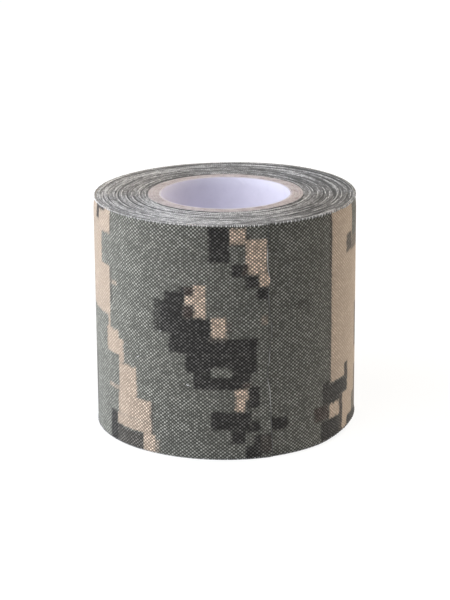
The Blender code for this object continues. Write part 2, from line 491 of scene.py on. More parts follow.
MIDDLE_BLOCKS = [
    ("dark", -3.6, 0.6, 42.2, 49.6), ("tan", 0.7, 4.0, 46.2, 49.4), ("tan", 4.0, 8.3, 40.0, 46.9),
    ("tan", 4.8, 6.7, 39.4, 40.0), ("tan", 6.8, 9.8, 36.8, 40.0), ("dark", 1.2, 4.3, 39.3, 41.9),
    ("umber", 3.4, 4.3, 39.5, 41.8), ("dark", 4.0, 6.6, 36.8, 39.3), ("dark", 6.3, 9.8, 34.4, 36.9),
    ("umber", -9.7, -6.7, 35.2, 37.1), ("dark", -9.7, -8.6, 35.2, 37.1), ("dark", -13.0, -8.6, 33.5, 35.8),
    ("worn dark", -15.6, -14.2, 27.0, 33.9), ("dark", -14.2, -6.7, 27.0, 33.7),
    ("umber", -9.0, -6.8, 30.4, 33.3), ("tan", -6.7, -4.3, 30.4, 37.4), ("tan", -8.6, -6.7, 33.2, 35.2),
    ("dark", -12.0, -3.0, 22.8, 30.4), ("tan", -3.1, 0.0, 26.3, 30.7), ("dark", -12.2, 6.4, 22.8, 26.2),
    ("dark", -8.5, 6.3, 18.7, 22.8), ("dark", -6.9, 5.0, 15.3, 18.7), ("ground", -3.2, 1.0, 17.9, 20.0),
    ("umber", 3.3, 5.0, 15.5, 16.8), ("tan", 1.8, 3.8, 10.6, 15.5), ("tan", 3.8, 4.4, 13.1, 15.5),
    ("soft dark", 3.8, 4.6, 10.9, 13.1), ("dark", 4.5, 6.8, 11.2, 15.8),
    ("dark", -3.2, 5.0, 6.5, 10.5), ("dark", 0.9, 3.8, 3.5, 6.5), ("dark", 5.2, 7.0, 5.9, 8.2),
    ("dark", 4.0, 5.2, 5.9, 6.5), ("dark", 5.7, 9.9, 1.1, 5.3), ("dark", 3.9, 7.0, -1.0, 2.9),
    ("soft umber", 7.0, 9.9, 1.5, 5.0),
    ("soft umber", 4.0, 4.9, 46.9, 48.0), ("soft umber", 0.7, 4.0, 45.5, 46.2),
    ("soft umber", 0.0, 1.3, 27.5, 30.0), ("soft umber", -4.0, 0.0, 25.5, 26.3),
    ("faint tan", 7.2, 8.6, 29.0, 30.9),
]
RIGHT_BLOCKS = [
    ("dark", 9.0, 13.3, 5.9, 8.6), ("faint dark", 14.4, 20.0, 31.2, 33.0), ("faint umber", 21.2, 21.9, 31.0, 47.0),
    ("umber", 24.7, 25.5, 38.0, 49.6), ("soft umber", 24.7, 25.5, 13.0, 38.0), ("tan", 25.4, 46.0, 13.0, 51.0),
    ("tan", 32.8, 46.0, 3.0, 13.2), ("ground", 35.2, 46.0, 42.2, 51.0), ("worn umber", 31.9, 34.8, 40.0, 43.7),
    ("soft umber", 34.8, 46.0, 39.6, 42.2), ("soft umber", 38.7, 46.0, 17.0, 27.0), ("dark", 22.6, 25.0, 9.2, 13.6),
    ("dark", 25.0, 32.7, 9.2, 12.8), ("dark", 22.7, 30.0, 8.3, 9.2), ("umber", 31.2, 32.8, 12.5, 15.8),
    ("umber", 20.1, 24.7, 5.2, 8.4), ("tan", 24.9, 28.9, 5.0, 8.3), ("dark", 22.3, 29.2, 0.5, 5.0),
    ("umber", 28.9, 30.2, 0.5, 9.5), ("tan", 30.2, 37.5, 0.5, 9.5), ("dark", 32.9, 46.0, 0.3, 3.4),
    ("soft dark", 36.2, 46.0, 3.4, 7.5), ("soft umber", 38.6, 46.0, 7.5, 13.0),
]
BACK_BLOCKS = [
    ("dark", 46.0, 52.0, 22.0, 30.5), ("dark", 47.5, 58.0, 17.5, 23.5), ("tan", 52.0, 57.0, 23.5, 31.0),
    ("umber", 55.5, 58.0, 20.0, 23.5), ("dark", 58.0, 62.5, 13.0, 19.0), ("tan", 45.8, 49.0, 3.5, 9.0),
    ("tan", 47.0, 53.5, 0.5, 6.0), ("dark", 53.5, 58.0, -1.0, 4.0), ("soft umber", 47.0, 50.0, 6.0, 8.0),
    ("dark", 46.0, 48.0, 42.5, 47.0), ("dark", 46.5, 50.0, 39.0, 44.0), ("tan", 50.0, 58.0, 40.5, 48.5),
    ("tan", 58.0, 61.0, 37.0, 44.0), ("soft umber", 57.2, 58.0, 44.0, 48.5), ("dark", 66.0, 74.0, 30.0, 36.5),
    ("dark", 70.0, 79.5, 25.0, 31.5), ("dark", 74.0, 77.0, 36.5, 40.0), ("umber", 77.0, 79.5, 28.0, 31.5),
    ("tan", 79.5, 83.5, 25.0, 34.0), ("tan", 83.5, 86.0, 29.0, 36.0), ("ground", 72.0, 75.0, 28.0, 30.0),
    ("tan", 67.0, 73.0, 6.0, 14.0), ("tan", 73.0, 80.0, 3.0, 10.0), ("dark", 80.0, 85.5, 0.5, 6.5),
    ("dark", 76.0, 80.0, 10.0, 13.0), ("umber", 64.5, 67.0, 8.0, 11.0), ("dark", 84.0, 90.0, 12.5, 18.0),
    ("dark", 88.0, 98.0, 16.0, 22.0), ("dark", 93.0, 97.0, 22.0, 27.0), ("tan", 98.0, 102.5, 14.0, 20.5),
    ("soft umber", 97.2, 98.0, 20.5, 26.0), ("tan", 88.0, 93.5, 40.0, 51.0), ("tan", 93.5, 99.0, 43.0, 51.0),
    ("dark", 99.0, 104.0, 40.0, 46.5), ("umber", 102.0, 104.0, 43.0, 46.5), ("dark", 104.0, 108.0, 37.0, 42.0),
    ("dark", 96.0, 102.0, -1.0, 5.0), ("dark", 102.0, 107.0, 2.5, 8.0), ("tan", 107.0, 113.0, 2.5, 9.5),
    ("tan", 113.0, 117.0, -1.0, 5.0), ("dark", 110.0, 117.0, 24.0, 31.0), ("dark", 106.5, 112.0, 20.0, 25.5),
    ("tan", 117.0, 122.0, 26.0, 33.5), ("umber", 114.0, 117.0, 24.0, 26.5), ("tan", 122.0, 125.0, 22.0, 28.0),
    ("dark", 120.0, 127.0, 38.0, 44.0), ("dark", 124.0, 131.0, 43.0, 48.0), ("soft umber", 119.2, 120.0, 38.0, 43.0),
    ("dark", 123.0, 128.0, 9.0, 15.5), ("umber", 126.0, 128.0, 13.0, 15.5), ("tan", 117.5, 120.0, 11.0, 15.0),
]
COVERED_BLOCKS = [
    ("dark", -24.0, -15.0, 30.0, 38.0), ("tan", -15.0, -9.0, 33.0, 41.0), ("dark", -9.0, 1.0, 18.0, 25.0),
    ("dark", -4.0, 6.0, 14.0, 19.0), ("umber", -2.0, 1.0, 22.0, 25.0), ("tan", 1.0, 6.5, 24.0, 32.0),
    ("tan", -20.0, -14.0, 4.0, 12.0), ("dark", -14.0, -8.0, 1.0, 7.0), ("dark", 0.0, 7.5, 42.0, 48.0),
    ("tan", -8.5, -4.0, 44.0, 51.0), ("dark", 9.0, 13.3, 5.9, 8.6),
]
ONE_TURN = 360 / math.degrees(LENGTH_ANGLE) * LENGTH_ANGLE * OUTER_RADIUS


def paint_blocks(inks, along, height, blocks, shift):
    """Paints rectangles on points of the strip. A block covers a point by the product of four eased steps,
    one to a side, and what it covers loses that share of its earlier inks."""
    ragged = PRINT_RAGGED * wander(height, 0.37 * MILLIMETRE, 61)
    ragged_up = PRINT_RAGGED * wander(along, 0.45 * MILLIMETRE, 62)
    for paint, left, right, low, high in blocks:
        ink, strength = PAINTS[paint]
        sides = (along + ragged - shift - left * MILLIMETRE, right * MILLIMETRE + shift - along - ragged,
                 height + ragged_up - low * MILLIMETRE, high * MILLIMETRE - height - ragged_up)
        cover = strength
        for side in sides:
            cover = cover * eased(side / (2 * PRINT_EDGE) + 0.5)
        inks *= 1.0 - cover[..., None]
        if ink is not None:
            inks[..., ink] += cover


def printed_inks(along, height):
    """The share of tan, near-black and umber at each point of the strip. The ground is what is left."""
    inks = np.zeros((*along.shape, 4))
    paint_blocks(inks, along, height, LEFT_BLOCKS + MIDDLE_BLOCKS, 0.0)
    paint_blocks(inks, along, height, RIGHT_BLOCKS + BACK_BLOCKS, -ONE_TURN)
    under_end = along < (OUTER_RADIUS * (FREE_END_ANGLE - FRONT_ANGLE) - ONE_TURN)
    covered = np.zeros_like(inks)
    paint_blocks(covered, along, height, COVERED_BLOCKS, -ONE_TURN)
    return np.where(under_end[..., None], covered, inks)


block_count = len(LEFT_BLOCKS + MIDDLE_BLOCKS + RIGHT_BLOCKS + BACK_BLOCKS + COVERED_BLOCKS)
print("print blocks:", block_count, "on a turn of", ONE_TURN)

# %% [markdown]
# ## Cloth
# The cloth is a plain weave: each thread goes over one crossing and under the next. Seen close, every
# crossing is a small bright crown with a dark gap at its corners. The weave is a node group on the strip's
# own plan, so it follows the strip round the roll: threads are half sine waves, and the higher of the two
# threads at a point is the one in view. Each thread has its own tone, and all of them wander a little. The
# finish paints the crowns' light and the gaps' shade into the colour: painted highlight and painted shade.

# %% The weave as a node group
WEFT_PITCH = 0.446 * MILLIMETRE
WARP_PITCH = 0.373 * MILLIMETRE


def plain_weave_group():
    """A plain weave on the strip's plan. With a and b the places counted in threads, sa and sb are the sines
    of pi times them. Where their signs agree the upright weft is on top, and elsewhere the warp. A float is
    the size of its own sine, which rounds the thread, times the eased size of the other, which ends it."""
    tree = bpy.data.node_groups.new("plain_weave", "ShaderNodeTree")
    for name in ("Height", "Weft Float", "Warp Float", "Crossing Tone", "Cloud", "Edge Dots", "Edge Dashes"):
        tree.interface.new_socket(name, in_out="OUTPUT", socket_type="NodeSocketFloat")
    for name, value in (("Weft Pitch", WEFT_PITCH), ("Warp Pitch", WARP_PITCH), ("Wander", 0.75)):
        socket = tree.interface.new_socket(name, in_out="INPUT", socket_type="NodeSocketFloat")
        socket.default_value = value
    given = tree.nodes.new("NodeGroupInput").outputs
    plan = add_node(tree, "ShaderNodeUVMap", uv_map="plan").outputs["UV"]
    axes = add_node(tree, "ShaderNodeSeparateXYZ", {"Vector": plan}).outputs
    drift_inputs = {"Vector": plan, "Scale": 300.0, "Detail": 2.0}
    drift = add_node(tree, "ShaderNodeTexNoise", drift_inputs, noise_dimensions="2D").outputs["Color"]
    drifts = add_node(tree, "ShaderNodeSeparateColor", {"Color": drift}).outputs

    def threads(axis, pitch, shift):
        moved = calculate(tree, "MULTIPLY", calculate(tree, "SUBTRACT", shift, 0.5), given["Wander"])
        count = calculate(tree, "ADD", calculate(tree, "DIVIDE", axis, given[pitch]), moved)
        return count, calculate(tree, "SINE", calculate(tree, "MULTIPLY", count, math.pi))

    along, along_wave = threads(axes["X"], "Weft Pitch", drifts["Red"])
    up, up_wave = threads(axes["Y"], "Warp Pitch", drifts["Green"])
    along_size = calculate(tree, "ABSOLUTE", along_wave)
    up_size = calculate(tree, "ABSOLUTE", up_wave)
    agree = calculate(tree, "GREATER_THAN", calculate(tree, "MULTIPLY", along_wave, up_wave), 0.0)
    weft = calculate(tree, "MULTIPLY", ramp(tree, along_size, 0.0, 0.35), ramp(tree, up_size, 0.0, 0.2))
    warp = calculate(tree, "MULTIPLY", ramp(tree, up_size, 0.1, 1.0), ramp(tree, along_size, 0.0, 0.55))
    weft = calculate(tree, "MULTIPLY", weft, agree)
    warp = calculate(tree, "MULTIPLY", warp, calculate(tree, "SUBTRACT", 1.0, agree))

    whole = {"X": calculate(tree, "FLOOR", along), "Y": calculate(tree, "FLOOR", up)}
    crossing = add_node(tree, "ShaderNodeCombineXYZ", whole).outputs[0]
    tone = add_node(tree, "ShaderNodeTexWhiteNoise", {"Vector": crossing}, noise_dimensions="2D")
    thread_end = add_node(tree, "ShaderNodeTexWhiteNoise", {"W": whole["X"]}, noise_dimensions="1D")
    dots = calculate(tree, "MULTIPLY", ramp(tree, along_size, 0.3, 0.9), thread_end.outputs["Value"])
    dash_inputs = {"W": axes["X"], "Scale": 520.0, "Detail": 1.5}
    dashes = add_node(tree, "ShaderNodeTexNoise", dash_inputs, noise_dimensions="1D").outputs["Fac"]
    result = tree.nodes.new("NodeGroupOutput").inputs
    tree.links.new(dashes, result["Edge Dashes"])
    tree.links.new(calculate(tree, "MAXIMUM", weft, warp), result["Height"])
    tree.links.new(weft, result["Weft Float"])
    tree.links.new(warp, result["Warp Float"])
    tree.links.new(tone.outputs["Value"], result["Crossing Tone"])
    tree.links.new(drifts["Blue"], result["Cloud"])
    tree.links.new(dots, result["Edge Dots"])
    return tree


plain_weave = plain_weave_group()
print("weave group:", len(plain_weave.nodes), "nodes")

# %% [markdown]
# The cloth's finish reads two attributes. "inks" is the print. "marks" says where a point is the cut edge of
# the strip (red), the adhesive side (green) and how pale that stretch of the edge is (blue), with painted light
# and shade in it. The edges are bare cotton, because the strip was slit after printing, and the adhesive side
# is off-white. The ground is painted lighter and darker along the strip in two slow ramps, painted sheen and
# light: lighter on the roll's left, where the lamps graze the cloth, and darker on its right. On two stretches,
# on the roll's left and right sides, the weave's painted highlight and shade is evened, most of all in the tan.

# %% The cloth's finish
GROUND = (0.183, 0.183, 0.161)
GROUND_PAINTED_LIGHT_RAMPS = ((-150.0, -50.0, 0.77, 1.32), (-48.0, -2.0, 1.0, 0.61))
TAN = (0.550, 0.434, 0.340)
DARK = (0.0255, 0.0235, 0.0215)
UMBER = (0.058, 0.042, 0.035)
BARE_COTTON = (0.66, 0.64, 0.63)
EDGE_PALE = (0.77, 0.76, 0.77)
EDGE_GREY = (0.07, 0.07, 0.072)
ADHESIVE = (0.66, 0.63, 0.55)
GAP_SHADE = 0.05
WARP_SHADE = 0.34
WEFT_SHADE = 1.18
MEAN_SHADE = 0.735
EVENED_SHADE_STRETCHES = ((-173.0, -152.0, -134.0, -114.0), (-78.0, -58.0, -40.0, -19.0))
TAN_SHADE_EVENED = 0.75
GROUND_SHADE_EVENED = 0.26
WORN_FLOAT_AND_HIGHLIGHT = 0.06


def stretch_mask(tree, along, *limits):
    """1 on a stretch of the strip and 0 beside it. The four limits, in millimetres along the strip, are where
    the mask starts to rise, is full, starts to fall and is gone."""
    rise, full, fall, gone = [limit * MILLIMETRE for limit in limits]
    return calculate(tree, "MULTIPLY", ramp(tree, along, rise, full), ramp(tree, along, fall, gone, 1.0, 0.0))


def cloth_finish():
    """Printed cotton: ink over a ground with painted sheen and light along it, floats of worn cotton with a
    painted highlight, painted highlight on the crowns and painted shade in the gaps, bare edges and an adhesive
    side.
    """
    material, tree = new_material("printed_cloth")
    weave = add_node(tree, "ShaderNodeGroup", node_tree=plain_weave).outputs
    inks = add_node(tree, "ShaderNodeAttribute", attribute_name="inks").outputs["Color"]
    ink = add_node(tree, "ShaderNodeSeparateColor", {"Color": inks}).outputs
    marks = add_node(tree, "ShaderNodeAttribute", attribute_name="marks").outputs["Color"]
    mark = add_node(tree, "ShaderNodeSeparateColor", {"Color": marks}).outputs
    plan = add_node(tree, "ShaderNodeUVMap", uv_map="plan").outputs["UV"]
    along = add_node(tree, "ShaderNodeSeparateXYZ", {"Vector": plan}).outputs["X"]
    ground = GROUND
    # Painted sheen and light on the ground: lighter on the roll's left, darker towards its right.
    for start, end, first, last in GROUND_PAINTED_LIGHT_RAMPS:
        drift = ramp(tree, along, start * MILLIMETRE, end * MILLIMETRE, first, last)
        ground = blend_colours(tree, 1.0, ground, drift, "MULTIPLY")
    colour = blend_colours(tree, ink["Red"], ground, TAN)
    colour = blend_colours(tree, ink["Green"], colour, DARK)
    colour = blend_colours(tree, ink["Blue"], colour, UMBER)
    tone = ramp(tree, weave["Crossing Tone"], 0.0, 1.0, 0.70, 1.30)
    # Pale floats: worn bare cotton, partly a painted highlight.
    bare = calculate(tree, "MULTIPLY", calculate(tree, "MULTIPLY", weave["Weft Float"], tone), WORN_FLOAT_AND_HIGHLIGHT)
    colour = blend_colours(tree, bare, colour, BARE_COTTON)
    # The weave's painted light and shade: a painted highlight on each float and painted shade in the gaps.
    bright = calculate(tree, "MULTIPLY_ADD", weave["Warp Float"], WARP_SHADE, GAP_SHADE)
    patch = ramp(tree, weave["Cloud"], 0.3, 0.7, 0.92 * WEFT_SHADE, 1.08 * WEFT_SHADE)
    bright = calculate(tree, "MULTIPLY_ADD", weave["Weft Float"], calculate(tree, "MULTIPLY", tone, patch), bright)
    # The weave's painted highlight and shade is evened on two stretches, on the roll's left and right sides, most in
    # the tan.
    soften = ramp(tree, ink["Red"], 0.0, 1.0, GROUND_SHADE_EVENED, TAN_SHADE_EVENED)
    stretches = [stretch_mask(tree, along, *stretch) for stretch in EVENED_SHADE_STRETCHES]
    soften = calculate(tree, "MULTIPLY", soften, calculate(tree, "ADD", *stretches))
    even = calculate(tree, "MULTIPLY", soften, MEAN_SHADE)
    bright = calculate(tree, "MULTIPLY_ADD", bright, calculate(tree, "SUBTRACT", 1.0, soften), even)
    cloud = ramp(tree, weave["Cloud"], 0.25, 0.75, 0.98, 1.02)
    colour = blend_colours(tree, 1.0, colour, calculate(tree, "MULTIPLY", bright, cloud), "MULTIPLY")
    colour = blend_colours(tree, mark["Green"], colour, ADHESIVE)
    dots = ramp(tree, weave["Edge Dots"], 0.0, 1.0, 0.70, 1.5)
    dashes = ramp(tree, weave["Edge Dashes"], 0.35, 0.65, 0.70, 1.30)
    pale = calculate(tree, "MULTIPLY", calculate(tree, "MULTIPLY", mark["Blue"], dots), dashes, clamp=True)
    edge = blend_colours(tree, pale, EDGE_GREY, EDGE_PALE)
    colour = blend_colours(tree, mark["Red"], colour, edge)
    bump = add_node(tree, "ShaderNodeBump", {"Height": weave["Height"], "Strength": 0.6, "Distance": 0.00006})
    shader = {"Base Color": colour, "Roughness": 0.88, "Normal": bump.outputs["Normal"]}
    shader["Specular IOR Level"] = 0.2
    shader["Sheen Weight"] = 0.12
    shader["Sheen Roughness"] = 0.45
    finish_material(tree, add_node(tree, "ShaderNodeBsdfPrincipled", shader).outputs[0])
    return material


printed_cloth = cloth_finish()
print("cloth finish:", len(printed_cloth.node_tree.nodes), "nodes")

# %% [markdown]
# ## Winding
# One strip makes every ring of the end face. Its first turn lies on the tube and each later turn lies on the
# one below, so a turn keeps its radius until it meets the step of the strip's start and climbs over it. A
# spiral that climbs evenly is simpler, but it leaves a gap beside the tube. Turns are counted back from
# the free end, so the free end is turn 0 and the strip starts 35 and a half turns before it.

# %% The path of the strip
LAYERS = 36
TURNS = 35.5
LENGTHS_IN_A_TURN = 2 * math.pi / LENGTH_ANGLE
TURN_PITCH = (OUTER_RADIUS - CORE_RADIUS) / LAYERS


def outer_face_radius(turn):
    """Radius of the cloth's outer face: the tube's radius plus a pitch for each whole turn wound so far and
    one more. In the last facet of a turn the next pitch is added by an eased climb."""
    wound = TURNS + turn
    whole = np.floor(wound)
    climb = eased((wound - whole - 1.0) * LENGTHS_IN_A_TURN + 1.0)
    return CORE_RADIUS + TURN_PITCH * (1.0 + whole + climb)


PATH_OVERRUN = 0.02
path_turns = np.linspace(-TURNS, PATH_OVERRUN, 40001)
path_steps = np.diff(path_turns) * 2 * math.pi * outer_face_radius((path_turns[1:] + path_turns[:-1]) / 2)
path_lengths = np.concatenate([[0.0], np.cumsum(path_steps)])
path_lengths -= np.interp(0.0, path_turns, path_lengths)


def length_at(turn):
    """Length along the strip at a turn, from 0 at the free end and negative before it."""
    return np.interp(turn, path_turns, path_lengths)


def turn_at(length):
    """The turn at a length along the strip."""
    return np.interp(length, path_lengths, path_turns)


def angle_at(turn):
    """The angle about the axis at a turn."""
    return FREE_END_ANGLE + 2 * math.pi * turn


print("strip of", -path_lengths[0], "m in", TURNS, "turns, pitch", TURN_PITCH)

# %% [markdown]
# The section of the strip is a thin upright loop with a rounded crown on each edge. The crowns matter more
# than the faces: they are the rings that the end shows, with dark lines between them, which are gaps deepened
# by painted shade at the foot of each crown. Along its path each stretch stands a little higher or lower than
# the next, and some stretches of edge are paler.

# %% The section of the strip and its surface
CLOTH_THICKNESS = 0.27 * MILLIMETRE
CLOTH_WIDTH = ROLL_HEIGHT - 0.02 * MILLIMETRE
WOUND_WIDTH = ROLL_HEIGHT - 0.24 * MILLIMETRE
RIM_ROUND = 0.12 * MILLIMETRE
RIM_REACH = 0.11 * MILLIMETRE
RIPPLE = 0.05 * MILLIMETRE
# The end face is painted paler towards the left front and darker towards the front right: painted light and painted
# shade.
PAINTED_LIGHT_SIDE = math.radians(-110)
PAINTED_SHADE_SIDE = math.radians(-22)
FOOT_LIFT = 1.50 * MILLIMETRE
FOOT_LIFT_SIDE = math.radians(8)
TOP_HANG = 0.22 * MILLIMETRE
TOP_HANG_SIDE = math.radians(140)
TOP_RISE = 0.20 * MILLIMETRE
TOP_RISE_SIDE = math.radians(42)
UNEVEN_REACH = 6 * MILLIMETRE
TOP_TUCK = 0.20 * MILLIMETRE
TUCK_REACH = 3 * MILLIMETRE


def cloth_section(outer_rows, inner_rows, rim_points, width):
    """A closed loop: up the outer face, over the crown, down the inner face and under. A crown is half an
    ellipse across the cloth's thickness. Gives depth below the outer face and height up the strip."""
    sweep = np.linspace(0.0, math.pi, rim_points + 2)[1:-1]
    depth = CLOTH_THICKNESS / 2 * (1.0 - np.cos(sweep))
    rise = RIM_ROUND * np.sin(sweep)
    outer = RIM_ROUND + (width - 2 * RIM_ROUND) * outer_rows
    inner = RIM_ROUND + (width - 2 * RIM_ROUND) * inner_rows[::-1]
    depths = np.concatenate([0 * outer, depth, np.full(len(inner), CLOTH_THICKNESS), depth[::-1]])
    heights = np.concatenate([outer, width - RIM_ROUND + rise, inner, RIM_ROUND - rise])
    return depths, heights


def edge_wander(length):
    """How far a stretch of edge stands up or down, from -1 to 1, along the strip."""
    return 0.65 * wander(length, 38 * MILLIMETRE, 7) + 0.35 * wander(length, 9 * MILLIMETRE, 17)


# Painted light and shade on the end face, zone by zone.
PAINTED_LIGHT_ZONES = [(90, 25, -37, -19, -0.10), (118, 38, -19, -11, -0.17), (-62, 48, -37, -27, 0.17),
              (-72, 30, -10, 2, 0.14), (-147, 28, -37, -3, -0.09), (-28, 22, -19, 2, -0.08)]


def painted_light_change(turn, angle):
    """Painted light and shade on the end face: in each zone, named by its middle and half width in degrees
    and by its first and last turn, the edge is paler or darker by one amount, with eased borders."""
    change = 0.0
    for middle, half, first, last, amount in PAINTED_LIGHT_ZONES:
        near = np.cos(angle - math.radians(middle)) - math.cos(math.radians(half))
        inside = eased((turn - first) / 2.0 + 0.5) * eased((last - turn) / 2.0 + 0.5)
        change = change + amount * eased(2.0 * near + 0.5) * inside
    return change


def edge_paleness(length, angle):
    """How pale the cut edge is, from 0 to 1. A fine unevenness lies on a middle grey, some stretches of a few
    millimetres are bare thread and nearly white, others are dark, and the front and the left front are paler
    with painted light. The front right is darker with painted shade, most of all in the last turns. The first
    turn, which lies deep beside the tube, is darker with painted shade."""
    stretch = wander(length, 8 * MILLIMETRE, 8)
    white = eased((stretch - 0.36) / 0.15)
    dark = eased((-stretch - 0.40) / 0.15)
    # Painted shade on the front right of the end face, most in the last turns.
    painted_shade_right = (0.18 + 0.14 * eased((turn_at(length) + 4.2) / 0.8)) * eased(1.5 * np.cos(angle - PAINTED_SHADE_SIDE))
    # Painted shade on the first turn, deep beside the tube.
    sunk = eased((1.5 - TURNS - turn_at(length)) / 0.4)
    fine = 0.14 * wander(length, 1.1 * MILLIMETRE, 9) + 0.10 * wander(length, 30 * MILLIMETRE, 10)
    # Painted light on the front and the left front of the end face.
    painted_light_front = 0.08 * np.cos(angle - PAINTED_LIGHT_SIDE) + 0.15 * eased(3.5 * np.cos(angle - FRONT_ANGLE) - 2.4)
    pale = 0.47 + fine + painted_light_front + 0.42 * white - 0.32 * dark - painted_shade_right - 0.30 * sunk
    return np.clip(pale + painted_light_change(turn_at(length), angle), 0.03, 1.0)


def outer_share(radius):
    """The cube of the share of the way out from the tube to the outside: what is done to the outer turns."""
    return ((radius - CORE_RADIUS) / (OUTER_RADIUS - CORE_RADIUS)) ** 3


def end_unevenness(radius, angle, height):
    """The ends of a hand-rewound roll aren't flat: the outer turns are pushed up a little at the foot on the
    right, and at the top they hang at the back left and rise at the back right. Each is a smooth bump in angle
    that fades out in the first millimetres of height."""
    right = np.cos(angle - FOOT_LIFT_SIDE)
    lifted = 0.14 * eased(2.0 * (right - 0.2)) + 0.86 * eased(2.2 * (right - 0.55))
    foot = FOOT_LIFT * lifted * eased(1.0 - height / UNEVEN_REACH)
    behind = eased(1.6 * (np.cos(angle - TOP_HANG_SIDE) - 0.4))
    rise = TOP_RISE * eased(3.0 * (np.cos(angle - TOP_RISE_SIDE) - 0.75)) - TOP_HANG * behind
    return outer_share(radius) * (foot + rise * eased(1.0 - (ROLL_HEIGHT - height) / UNEVEN_REACH))


def top_tuck(radius, height):
    """How far the cloth is drawn in at the top edge, where it rounds off the shoulder: the cube of the share of
    the way out from the tube, and eased to nothing a few millimetres down."""
    return TOP_TUCK * outer_share(radius) * eased(1.0 - (ROLL_HEIGHT - height) / TUCK_REACH)


def cloth_surface(turn, section, width, base_shade):
    """The strip at the given turns, one row of points to a station. Radius is the outer face's less the
    depth, with a ripple that fades towards the outside, and the height is the section's plus a wander.
    The base shade is how pale the foot of a crown is beside its top: painted shade in the gaps between turns."""
    depths, heights = section
    turn = np.broadcast_to(turn, (len(turn), len(depths)))
    length = length_at(turn)
    angle = angle_at(turn)
    outside = eased((-turn - 1.0) / 3.0)
    ripple = RIPPLE * outside * wander(angle * 9.0, 2.4, 5) * wander(turn, 2.3, 6)
    slack = (ROLL_HEIGHT - width) / 2
    radius = outer_face_radius(turn)
    height = heights + slack * (1.0 + edge_wander(length)) + end_unevenness(radius, angle, heights)
    points = round_the_axis(radius - depths + ripple - top_tuck(radius, heights), angle, height)
    from_edge = np.minimum(heights, width - heights)
    crown = eased(1.0 - from_edge / RIM_ROUND)
    marks = np.zeros((*turn.shape, 4))
    marks[..., 0] = 1.0 - eased((from_edge - RIM_ROUND) / RIM_REACH + 0.2)
    marks[..., 1] = eased(depths / CLOTH_THICKNESS * 3.0 - 2.0)
    # Painted shade at the foot of each crown, darkest on the inner turns.
    marks[..., 2] = edge_paleness(length, angle) * (base_shade + (1.0 - base_shade) * crown)
    plan = np.stack([length, heights + 0 * length], axis=-1)
    return tube_part(points, plan=plan, marks=marks, inks=np.zeros_like(marks))


print("strip:", CLOTH_WIDTH, "wide and", CLOTH_THICKNESS, "thick")

# %% [markdown]
# The inner turns show only their edges, so their section has ten points and they share one mesh. They end
# a few facets under the free end, where the finer outer wrap takes over.

# %% Wind the inner turns
STATIONS_IN_A_TURN = 240
WRAP_START = -44 / LENGTHS_IN_A_TURN
inner_stations = np.linspace(-TURNS, WRAP_START, int((TURNS + WRAP_START) * STATIONS_IN_A_TURN))
end_rows = np.array([0.0, 1.0])
inner_section = cloth_section(end_rows, end_rows, 3, WOUND_WIDTH)
inner_turns = cloth_surface(inner_stations[:, None], inner_section, WOUND_WIDTH, 0.15)
wound_turns = add_piece("wound_turns", printed_cloth, inner_turns)
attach(wound_turns, "roll")
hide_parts("tape_windings")

# %% [markdown]
# ## Loose thread
# Slitting leaves the cut ends of the weft standing on both edges of the strip, as rows of pale dots. They
# are geometry and not only colour, because they break the roll's outline. One function makes any number of
# short threads at once: four corners round each point of each thread.

# %% Threads as tubes of four sides
THREAD_SIDES = 4


def thread_part(paths, thickness, length, pale):
    """Many threads as one part. At each point of a path, four corners lie across the path's direction, as
    far out as the thread is thick there. The first of them is square to the direction and the radius."""
    direction = np.gradient(paths, axis=1)
    direction /= np.linalg.norm(direction, axis=-1, keepdims=True)
    outward = paths * np.array([1.0, 1.0, 0.0])
    across = np.cross(direction, outward)
    across /= np.linalg.norm(across, axis=-1, keepdims=True)
    other = np.cross(across, direction)
    corner = np.arange(THREAD_SIDES)[:, None] * 2 * math.pi / THREAD_SIDES
    ring = np.cos(corner) * across[:, :, None, :] + np.sin(corner) * other[:, :, None, :]
    points = paths[:, :, None, :] + thickness[:, :, None, None] * ring
    count, steps = paths.shape[:2]
    one = tube_part(points[0])
    quads = np.concatenate([one["quads"], np.array(one["caps"])])
    first = np.arange(count)[:, None, None] * steps * THREAD_SIDES
    flat = np.zeros((count, steps, THREAD_SIDES))
    plan = np.stack([flat + length[:, None, None], flat], axis=-1).reshape(-1, 2)
    marks = np.stack([flat + 1.0, flat, flat + pale[..., None], flat], axis=-1).reshape(-1, 4)
    return {"points": points.reshape(-1, 3), "quads": (quads + first).reshape(-1, 4), "caps": [],
            "plan": plan, "marks": marks, "inks": np.zeros_like(marks)}


EDGE_THREAD = 0.085 * MILLIMETRE
EDGE_THREAD_TAPER = np.array([0.7, 1.0, 1.0, 0.5])
EDGE_THREAD_PROUD = np.array([-0.02, 0.045, 0.050, -0.03]) * MILLIMETRE
EDGE_THREAD_TIP = 0.02 * MILLIMETRE
FOOT_SHADE = 0.4


